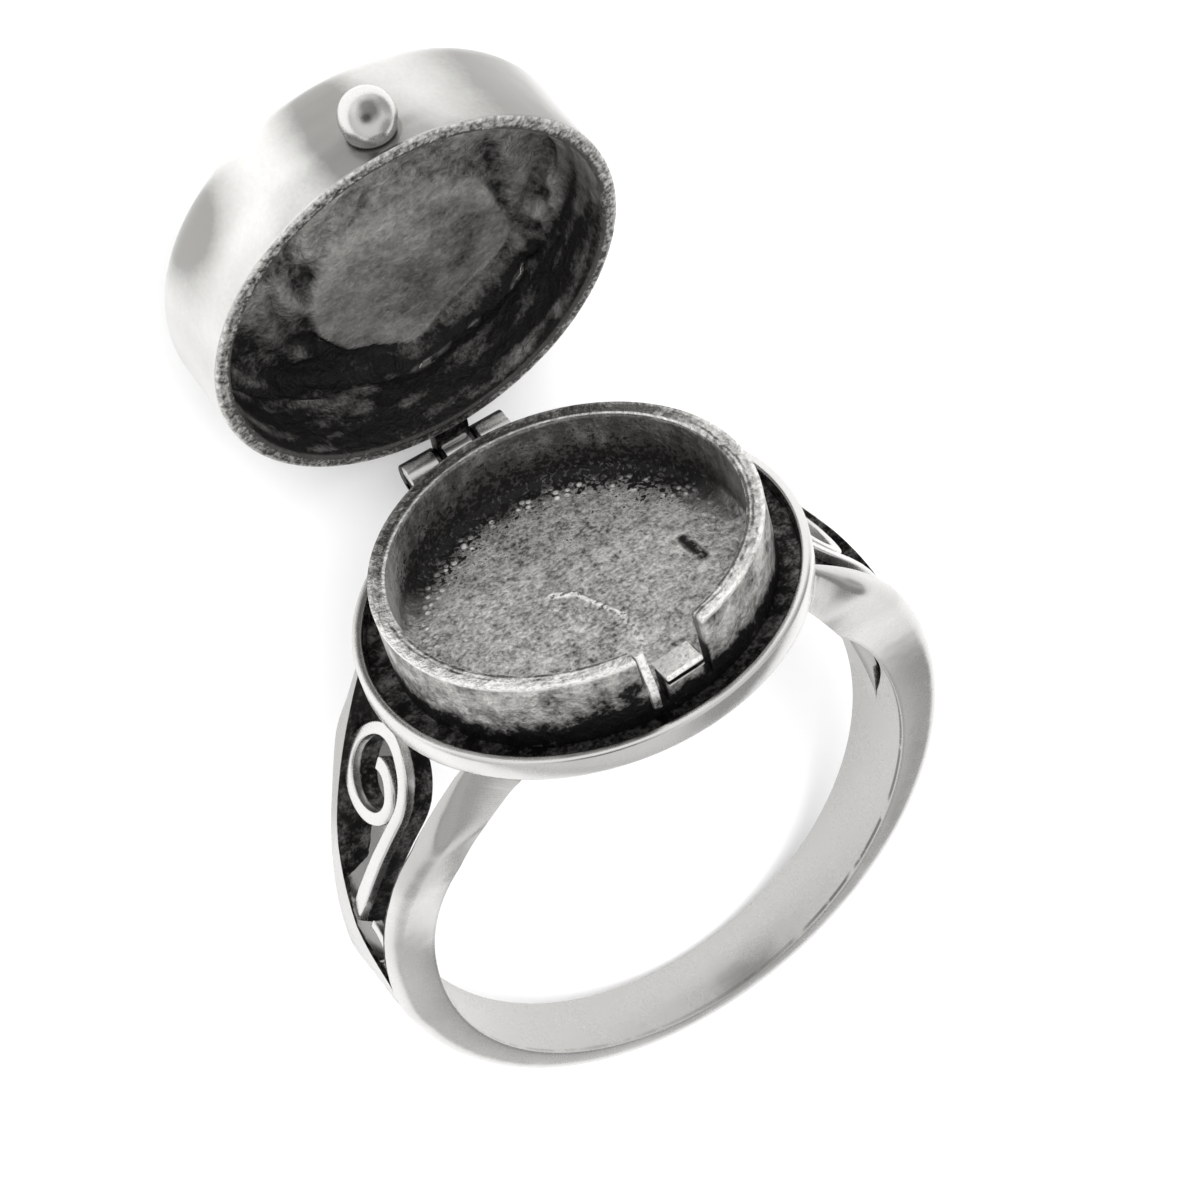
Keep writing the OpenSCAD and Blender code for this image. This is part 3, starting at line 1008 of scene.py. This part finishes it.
def ball_reflection_and_seam(paint, at, x, y, z):
    """A dark reflection painted on the ball's front, and a dark seam where it meets the wall."""
    # The soft dark spot, where the ball faces the camera, is a painted reflection.
    spot = Vector((-0.08, BALL_Y - 0.7, BALL_Z - 0.45))
    off = ((x - spot.x) ** 2 + (y - spot.y) ** 2 + (z - spot.z) ** 2) ** 0.5
    dark_reflection = (off.falls(0.12, 0.5) + 0.8 * (paint.noise(at, 2.5, 2) - 0.5)).clip()
    dark_reflection = dark_reflection * off.falls(0.3, 0.6)
    return (dark_reflection * 0.85 + y.rises(BALL_Y + 0.42, BALL_Y + 0.56)).clip()


band_silver = polished("band_silver", WORN, in_piercing, finger_face_and_rail_shade, band_line_and_rail_shade)
wire_silver = polished("wire_silver", WORN, on_wire_side)
hinge_silver = polished("hinge_silver", WORN, hinge_grime_and_shade)
plain_silver = polished("plain_silver", WORN)
ball_silver = polished("ball_silver", LID_SHUT, stain_and_shade=ball_reflection_and_seam)
strap_silver = polished("strap_silver", LID_SHUT, strap_grime_and_shade)
print("made", band_silver.name, "and five more")


# %% [markdown]
# ## Tray finish
# The rim is polished. The channel inside it was blackened and never polished again, and dust
# lies in it.

# %% Paint the tray
def oval_reach(x, y, a):
    """1 on the oval of half length a, less inside it."""
    b = a - OVAL_SLACK
    return ((x / a) * (x / a) + (y / b) * (y / b)) ** 0.5


def tray_dark(paint, at, x, y, z):
    """More than 1 in the channel, so that no silver shows through the black there."""
    inside = oval_reach(x, y, TRAY_A).falls(0.935, 0.955)
    return inside * z.rises(TRAY_Z + 0.15, TRAY_Z + 0.25) * 1.25


tray_silver = polished("tray_silver", WORN, tray_dark)
print("made", tray_silver.name)

# %% [markdown]
# ## Cup finish
# Four finishes meet on the cup. Its rim is worn and speckled, its inner wall is brushed grey,
# its floor is pitted and stained black towards the hinge, and its outside is dark near the tray.
# On the floor are also a short black mark, a bright bent scratch and a row of painted glints. The rim's inner edge
# has a painted highlight at the back and painted shade at the front, and painted shade blackens the gaps beside
# the sill.

# %% Say where the marks on the cup's floor lie
CUP_MARK = ((3.51, -0.17), (3.6, -1.2), 0.26)
CUP_SCRATCH = [((-0.75, 0.5), (-0.2, 0.15), 0.2), ((-0.2, 0.15), (0.5, -1.6), 0.13),
               ((0.5, -1.6), (0.35, -3.1), 0.2)]


def near_line(paint, x, y, start, end, width):
    """1 along a straight line between two points of the floor, 0 further off than the width."""
    dx, dy = end[0] - start[0], end[1] - start[1]
    length = math.hypot(dx, dy)
    along = (x - start[0]) * (dx / length) + (y - start[1]) * (dy / length)
    inside = paint.number("ShaderNodeClamp", {}, {"Value": along, "Min": 0, "Max": length})
    off_x = x - start[0] - inside * (dx / length)
    off_y = y - start[1] - inside * (dy / length)
    return ((off_x * off_x + off_y * off_y) ** 0.5).falls(width * 0.3, width)


# %% Paint the cup
WALL_PALE = (0.4, 0.39, 0.375, 1)
FLOOR_DARK = (0.07, 0.068, 0.064, 1)
FLOOR_PALE = (0.8, 0.79, 0.77, 1)
RIM_DARK = (0.11, 0.107, 0.1, 1)
SIDE_PALE = (0.66, 0.65, 0.63, 1)
GLINT = (0.85, 0.84, 0.82, 1)
SCRATCH = (0.95, 0.94, 0.92, 1)


def cup_finish():
    paint = Paint("cup_silver")
    at = paint.place(WORN)
    x, y, z = paint.axes(at)
    reach = oval_reach(x, y, CUP_A)
    rim = z.rises(CUP_RIM_Z - 0.16, CUP_RIM_Z - 0.04)
    outside = reach.rises(0.96, 0.975) * (1 - rim)
    grain = paint.noise(at, 3.6, 4, 0.62)
    grit = paint.noise(at, 8, 3, 0.6)
    cloud = paint.noise(at, 0.7, 4, 0.6)
    patches = paint.noise(at, 1.3, 4, 0.6)
    drag = paint.noise(paint.stretched(at, (2.2, 2.2, 0.5)), 1, 4, 0.6)
    brushed = paint.noise(paint.stretched(at, (0.6, 0.6, 3)), 1.1, 5, 0.65)
    corner_x = (1 - reach / 0.909) * CUP_A
    corner = (corner_x * corner_x + (z - CUP_FLOOR_Z) * (z - CUP_FLOOR_Z)) ** 0.5
    low = z.falls(CUP_FLOOR_Z + 0.2, CUP_FLOOR_Z + 0.5)
    behind = (y + 0.25 * x + 1.5 * (cloud - 0.5)).rises(0.6, 2.8)
    bits = paint.cells(at, 3.4)
    band = 0.72 * corner.falls(0.1, 2.0) + 2.4 * (grit - 0.5) + 1.6 * (grain - 0.5)
    band = band.rises(0.36, 0.56) * behind
    glints = ((corner - 0.85).size().falls(0.1, 0.6) * low * bits.falls(0.22, 0.42)
              * (patches + 0.5 * grit).rises(0.62, 0.8) * y.rises(-1.5, 0.5))
    mark = near_line(paint, x, y, *CUP_MARK) * grain.rises(0.35, 0.5) * low
    line = (near_line(paint, x, y, *CUP_SCRATCH[0])
            + near_line(paint, x, y, *CUP_SCRATCH[1])
            + 0.6 * near_line(paint, x, y, *CUP_SCRATCH[2])).clip() * low
    line = line * grit.rises(0.35, 0.5)
    # Painted shade: black in the gaps beside the sill.
    gap = ((x + 0.4).size().falls(0.12, 0.22) + (x - 1.16).size().falls(0.12, 0.22)).clip()
    gap = gap * y.falls(-5.0, -4.9) * z.falls(SILL_Z + 0.1, SILL_Z + 0.3)
    lip = (reach - 0.918).size().falls(0.003, 0.012) * z.rises(CUP_RIM_Z - 0.14, CUP_RIM_Z - 0.06)
    floor_tone = (0.5 - behind * 0.1 - corner.falls(0.2, 1.4) * 0.2 + 1.2 * (grain - 0.5)
                  + 0.02 * x.size() + 1.7 * (grit - 0.5) + 0.8 * (patches - 0.5)).clip()
    wall_tone = (0.42 + 0.7 * (drag - 0.5) + 0.9 * (patches - 0.5) + 0.9 * (grit - 0.5)
                 - 0.36 * behind - 0.25 * corner.falls(0.3, 1.2) + 0.6 * x.falls(-5, -3)).clip()
    groove = (reach - 0.943 - 0.04 * (patches - 0.5)).size().falls(0.002, 0.011)
    groove = groove * cloud.rises(0.42, 0.55)
    rim_tone = (0.72 + 1.1 * (grit - 0.5) + 1.3 * (grain - 0.5) + 0.8 * (patches - 0.5)
                - 0.62 * y.rises(0.5, 4) - 0.6 * lip * y.falls(-1, 1) - 0.55 * groove
                - 0.2 * x.rises(2, 4) + 0.3 * reach.rises(0.975, 0.99)).clip()
    # Painted highlight on the rim's inner edge at the back; the rim tone paints shade on the same edge at the
    # front.
    lip_highlight = lip * y.rises(0.5, 2.5)
    out_tone = (0.6 + 0.5 * (brushed - 0.5) + 2.3 * (patches - 0.5) + 0.9 * (grit - 0.5)
                - 0.9 * z.falls(TRAY_Z + 0.7, TRAY_Z + 1.4)
                - 0.4 * (x + 1.8).size().falls(0.3, 1.4)
                * z.falls(TRAY_Z + 1.6, TRAY_Z + 2.5)).clip()
    wall = paint.between(wall_tone, CHARCOAL, WALL_PALE)
    ground = paint.between(floor_tone, FLOOR_DARK, FLOOR_PALE)
    top = paint.between(rim_tone, RIM_DARK, RUBBED_AND_HIGHLIGHT)
    side = paint.between(out_tone, BLACK, SIDE_PALE)
    colour = paint.between(low * reach.falls(0.9, 0.92), wall, ground)
    for mask, over in ((band, BLACK), (glints, GLINT), (mark, BLACK), (line, SCRATCH),
                       (outside, side), (rim, top), (lip_highlight, RUBBED_AND_HIGHLIGHT), (gap, BLACK)):
        colour = paint.between(mask, colour, over)
    rough = 0.45 + 0.2 * grit - 0.15 * rim
    metal = 0.45 + 0.35 * rim + 0.3 * outside
    normal = paint.bump(patches, 0.25, 0.8)
    normal = paint.bump(grain + 0.6 * line - mark - 0.5 * band + 0.6 * glints, 0.16, 0.8, normal)
    normal = paint.bump(grit, 0.05, 0.7, normal)
    return paint.set(Base_Color=colour, Roughness=rough, Metallic=metal.clip(), Normal=normal)


cup_silver = cup_finish()
print("made", cup_silver.name)

# %% [markdown]
# The lip and the tab are rubbed bright, with painted shade below and in the fold.

# %% Paint the notch's lip and tab
def notch_finish():
    paint = Paint("notch_silver")
    at = paint.place(WORN)
    x, y, z = paint.axes(at)
    grain = paint.noise(at, 5.5, 4, 0.62)
    grit = paint.noise(at, 11, 3, 0.6)
    # Below the sill and in the fold the colour darkens as painted shade.
    low = z.falls(SILL_Z - 0.6, SILL_Z - 0.3)
    fold_shade = (z - SILL_Z + 0.03).size().falls(0.05, 0.09)
    fold_shade = fold_shade * y.falls(-5.7, -5.6) * x.rises(-0.4, -0.2)
    tone = (0.95 + 1.6 * (grain - 0.5) + 0.9 * (grit - 0.5) - 0.7 * low).clip()
    colour = paint.between(tone, CHARCOAL, RUBBED_AND_HIGHLIGHT)
    colour = paint.between(fold_shade, colour, BLACK)
    normal = paint.bump(grain, 0.05, 0.6)
    return paint.set(Base_Color=colour, Roughness=0.3 + 0.2 * grit, Metallic=0.7, Normal=normal)


notch_silver = notch_finish()
print("made", notch_silver.name)

# %% [markdown]
# ## Lid finish
# Outside, the lid has the best polish, with three broad dark streaks that are painted reflections, painted
# highlights on its shoulder and in one band, and a dull ring round the ball. Inside it is black in the folds, grey
# on their ridges, paler on the patch and lighter towards its front as painted light.

# %% Paint the lid
SHEEN = (0.76, 0.755, 0.74, 1)
HOLLOW_PALE = (0.5, 0.49, 0.47, 1)
EDGE_DARK = (0.05, 0.048, 0.045, 1)
EDGE_PALE = (0.72, 0.71, 0.69, 1)


def lid_finish():
    paint = Paint("lid_silver")
    at = paint.place(LID_SHUT)
    x, y, z = paint.axes(at)
    reach = oval_reach(x, y, LID_A)
    rim = z.falls(LID_Z + 0.03, LID_Z + 0.1)
    inside = reach.falls(0.94, 0.955) * z.falls(CEILING_Z + 0.15, CEILING_Z + 0.35)
    grain = paint.noise(at, 3.6, 4, 0.62)
    grit = paint.noise(at, 8, 3, 0.6)
    cloud = paint.noise(at, 0.8, 4, 0.6, 0.5)
    haze = paint.noise(at, 0.45, 3)
    turn = x.math_with("ARCTAN2", -y)
    upper = z.rises(LID_Z + 0.8, LID_Z + 3.2)
    # Painted dark reflections: three broad streaks down the lid's side.
    dark_reflection_streaks = ((turn + 0.9).size().falls(0.0, 0.42) * upper * 1.1
               + (turn + 0.13).size().falls(0.0, 0.3) * 0.9
               + (turn - 0.75).size().falls(0.0, 0.5) * 0.75)
    dark_reflection_streaks = dark_reflection_streaks * z.falls(LID_Z + LID_SIDE_H + 0.5, LID_Z + LID_H)
    off_ball = (x * x + (z - BALL_Z) * (z - BALL_Z)) ** 0.5 + 10 * y.rises(-3, 0)
    tarnish = (off_ball - 0.72).size().falls(0.03, 0.2) * 0.8 + off_ball.falls(0.8, 2.2) * 0.25
    crown = z.rises(LID_Z + LID_SIDE_H + 0.2, LID_Z + LID_H - 0.1)
    # The band near the first streak and the crown are lightened as painted highlights.
    tone = (0.6 + 0.25 * (turn + 0.5).size().falls(0.1, 0.45) + 0.3 * crown + 0.5 * (haze - 0.5)
            + 0.25 * (grit - 0.5) - dark_reflection_streaks - tarnish).clip()
    shine = paint.between(tone, DUST_AND_DARK_REFLECTION, SHEEN)
    patch = paint.attribute("patch")
    ridge = paint.attribute("ridge")
    # Painted light: the hollow is lighter towards the lid's front.
    lit = y.falls(-3, 3.5)
    smudge = (((x - 2) / 1.6) ** 2 + ((y - 2.6) / 1.2) ** 2).falls(0.3, 1.3)
    worn_and_lit = (0.62 * lit - 0.06 + (0.46 - 0.4 * lit) * patch + 0.6 * (cloud - 0.5)
            + 0.8 * (grain - 0.5) * (0.5 + lit) + 0.4 * (grit - 0.5) + 0.45 * ridge
            - 0.16 * smudge).clip()
    deep = paint.between(worn_and_lit, BLACK, HOLLOW_PALE)
    rim_tone = (0.34 + 2.0 * (grit - 0.5) + 1.4 * (grain - 0.5) - 0.25 * y.rises(0, 4)
                - 0.5 * reach.falls(0.935, 0.955) + 0.3 * reach.rises(0.975, 0.99)).clip()
    speckle = paint.between(rim_tone, EDGE_DARK, EDGE_PALE)
    colour = paint.between(inside, shine, deep)
    colour = paint.between(rim, colour, speckle)
    rough = 0.19 + 0.08 * haze + 0.3 * inside + 0.2 * rim
    metal = 1 - 0.6 * inside - 0.3 * rim
    raw = (inside + rim).clip()
    waves = paint.bump(paint.noise(at, 0.4, 2), 0.14, 0.5)
    pits = paint.noise(at, 2.2, 5, 0.62, 0.4) * inside * (1 - 0.75 * patch)
    dents = paint.bump(pits, 0.35, 0.9, waves)
    normal = paint.bump((grain + 0.5 * grit) * raw, 0.06, 0.8, dents)
    return paint.set(Base_Color=colour, Roughness=rough, Metallic=metal.clip(), Normal=normal)


lid_silver = lid_finish()
print("made", lid_silver.name)

# %% [markdown]
# ## Dress and lay down the pieces
# Every piece gets its finish and its body, and is laid down with the matrix that it needs. Band
# and lid shell stand for the plain solids. The pin is kept from the solids and only dressed.

# %% Finish the pieces
PLACED = {"ring": LAY, "lid": OPEN_LID}
STANDS_FOR = {"band": ("ring_body",), "lid_shell": ("lid",)}
for material, body, pieces in (
        (band_silver, "ring", (band,)), (tray_silver, "ring", (tray,)),
        (cup_silver, "ring", (cup,)), (notch_silver, "ring", (sill, tab)),
        (wire_silver, "ring", (scroll_left, scroll_right)),
        (plain_silver, "ring", (bracket_left, bracket_right, saddle)),
        (hinge_silver, "ring", (knuckle_left, knuckle_right)),
        (lid_silver, "lid", (lid_shell,)), (strap_silver, "lid", (knuckle_mid, strap)),
        (ball_silver, "lid", (ball,))):
    for obj in pieces:
        obj.data.materials.clear()
        obj.data.materials.append(material)
        finish_piece(obj, body, PLACED[body], nodes=STANDS_FOR.get(obj.name, ()))
pin = frame["nodes"]["hinge_pin"]
pin.data.materials.clear()
pin.data.materials.append(plain_silver)

# %% [markdown]
# ## Camera
# The photograph was taken from above and in front, with a long lens. Its angles are given for
# the worn ring.

# %% Set up the camera
AZIMUTH = math.radians(-18.221)
ELEVATION = math.radians(44.315)
ROLL = math.radians(-17.241)
FRAME_PX = 1200
FOCAL_PX = 3107.22
DISTANCE = 99.55
SHIFT_X = 1.654
SHIFT_Y = -6.919
SENSOR = 36
backward = Vector((math.sin(AZIMUTH) * math.cos(ELEVATION),
                   -math.cos(AZIMUTH) * math.cos(ELEVATION), math.sin(ELEVATION)))
level_right = (-backward).cross(Vector((0, 0, 1))).normalized()
level_up = level_right.cross(-backward)
right = math.cos(ROLL) * level_right + math.sin(ROLL) * level_up
up = -math.sin(ROLL) * level_right + math.cos(ROLL) * level_up
place = -SHIFT_X * right - SHIFT_Y * up + DISTANCE * backward
pose = Matrix((right, up, backward)).transposed().to_4x4()
camera_data = bpy.data.cameras.new("photo_camera")
camera_data.sensor_width = SENSOR
camera_data.lens = SENSOR * FOCAL_PX / FRAME_PX
camera_data.clip_start = 0.001
camera = bpy.data.objects.new("photo_camera", camera_data)
bpy.context.scene.collection.objects.link(camera)
lay_turn_only = LAY.to_3x3().normalized().to_4x4()
camera.matrix_world = Matrix.Translation(LAY @ place) @ lay_turn_only @ pose
bpy.context.scene.camera = camera
print("camera at, in metres:", [round(v, 4) for v in camera.matrix_world.translation])

# %% [markdown]
# ## Floor and light
# Silver shows what stands round it, so the light matters as much as the metal. The ring lies on
# white paper under one broad light, which doesn't show in the silver.

# %% Lay the floor and hang the light
deselect_all()
bpy.ops.mesh.primitive_plane_add(size=1.2, location=(0, 0, 0))
floor = bpy.context.object
floor.name = "floor"
paper = Paint("floor_paper").set(Base_Color=(0.96, 0.96, 0.96, 1), Roughness=0.9, Metallic=0.0)
floor.data.materials.append(paper)

LIGHT_AT = Vector((0.02, 0.05, 0.35))
LIGHT_AIM = Vector((0, 0, 0.006))
light_data = bpy.data.lights.new("sheet_over", "AREA")
light_data.shape = "RECTANGLE"
light_data.size = 0.5
light_data.size_y = 0.5
light_data.energy = 1.62
light = bpy.data.objects.new("sheet_over", light_data)
bpy.context.scene.collection.objects.link(light)
light.location = LIGHT_AT
light.rotation_euler = (LIGHT_AIM - LIGHT_AT).to_track_quat("-Z", "Y").to_euler()
light.visible_glossy = False
print("light above the floor, in metres:", round(LIGHT_AT.z, 2))

# %% [markdown]
# The surroundings are pale, and brightest behind the ring. Three dark cards stand in them, one
# of them overhead, and turn the faces that mirror them grey.

# %% Paint the surroundings
world = bpy.data.worlds.new("studio")
bpy.context.scene.world = world
world.use_nodes = True
studio = Nodes(world.node_tree)
direction = studio.node("ShaderNodeTexCoord", {}, {}).outputs["Generated"]
east, north, high = studio.axes(direction)


def toward(x, y, z, edge, full):
    """1 in that direction, fading to 0 at the edge, both as cosines of the angle to it."""
    length = math.sqrt(x * x + y * y + z * z)
    along = east * (x / length) + north * (y / length) + high * (z / length)
    return along.rises(edge, full)


tone = 0.6 + 0.32 * high.rises(0.0, 0.3)
tone = tone + 0.35 * toward(-0.2, 1, 0.2, 0.6, 0.95)
tone = tone * (1 - 0.55 * toward(0.55, -0.8, 0.35, 0.86, 0.98))
tone = tone * (1 - 0.45 * toward(1, 0.15, 0.25, 0.8, 0.97))
tone = tone * (1 - 0.9 * toward(-0.36, 0.08, 0.92, 0.93, 0.97))
sky = world.node_tree.nodes["Background"]
studio.feed(sky.inputs["Color"], tone)
studio.feed(sky.inputs["Strength"], 1.0)
bpy.context.scene.view_settings.view_transform = "Standard"
print("nodes in the surroundings:", len(world.node_tree.nodes))
